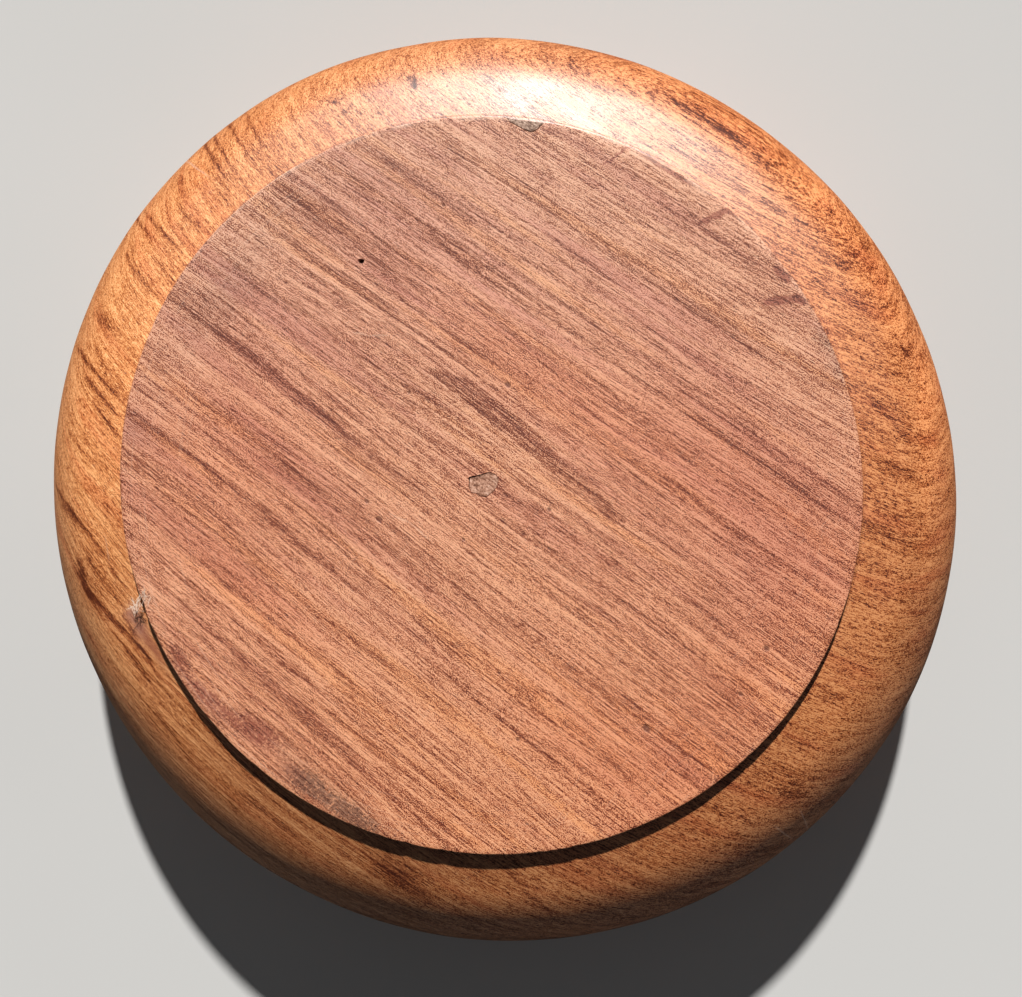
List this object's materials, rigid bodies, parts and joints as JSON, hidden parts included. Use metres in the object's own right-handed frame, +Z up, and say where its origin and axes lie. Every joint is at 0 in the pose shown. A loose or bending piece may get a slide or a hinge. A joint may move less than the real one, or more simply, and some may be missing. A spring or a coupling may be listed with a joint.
{
  "type": "wooden bowl",
  "caption": "Round turned hardwood bowl resting upside down on its rim, with a raised flat foot disc, a full rounded shoulder, an incurved rim and a plugged lathe centre.",
  "frame": {"origin": "on the turning axis in the plane of the rim, which is the lowest plane because the bowl rests upside down on its rim", "axes": "+Z up along the turning axis from the rim to the foot face; the grain runs in the XY plane at about 36 degrees clockwise from +X seen from above; in ordinary use the bowl is turned over, with +Z pointing down"},
  "size_m": [0.1651, 0.1648, 0.0459],
  "materials": {
    "timber": "oiled and waxed satin to gloss on the shoulder and side, bare and matte on the foot face, straight streaky reddish grain",
    "plug_wood": "bare, matte, greyish",
    "wood_filler": "matte grey-brown, slightly pitted"
  },
  "bodies": {
    "root": {"bowl_body": "timber", "centre_plug": "plug_wood", "edge_filler": "wood_filler"}
  },
  "joints": []
}
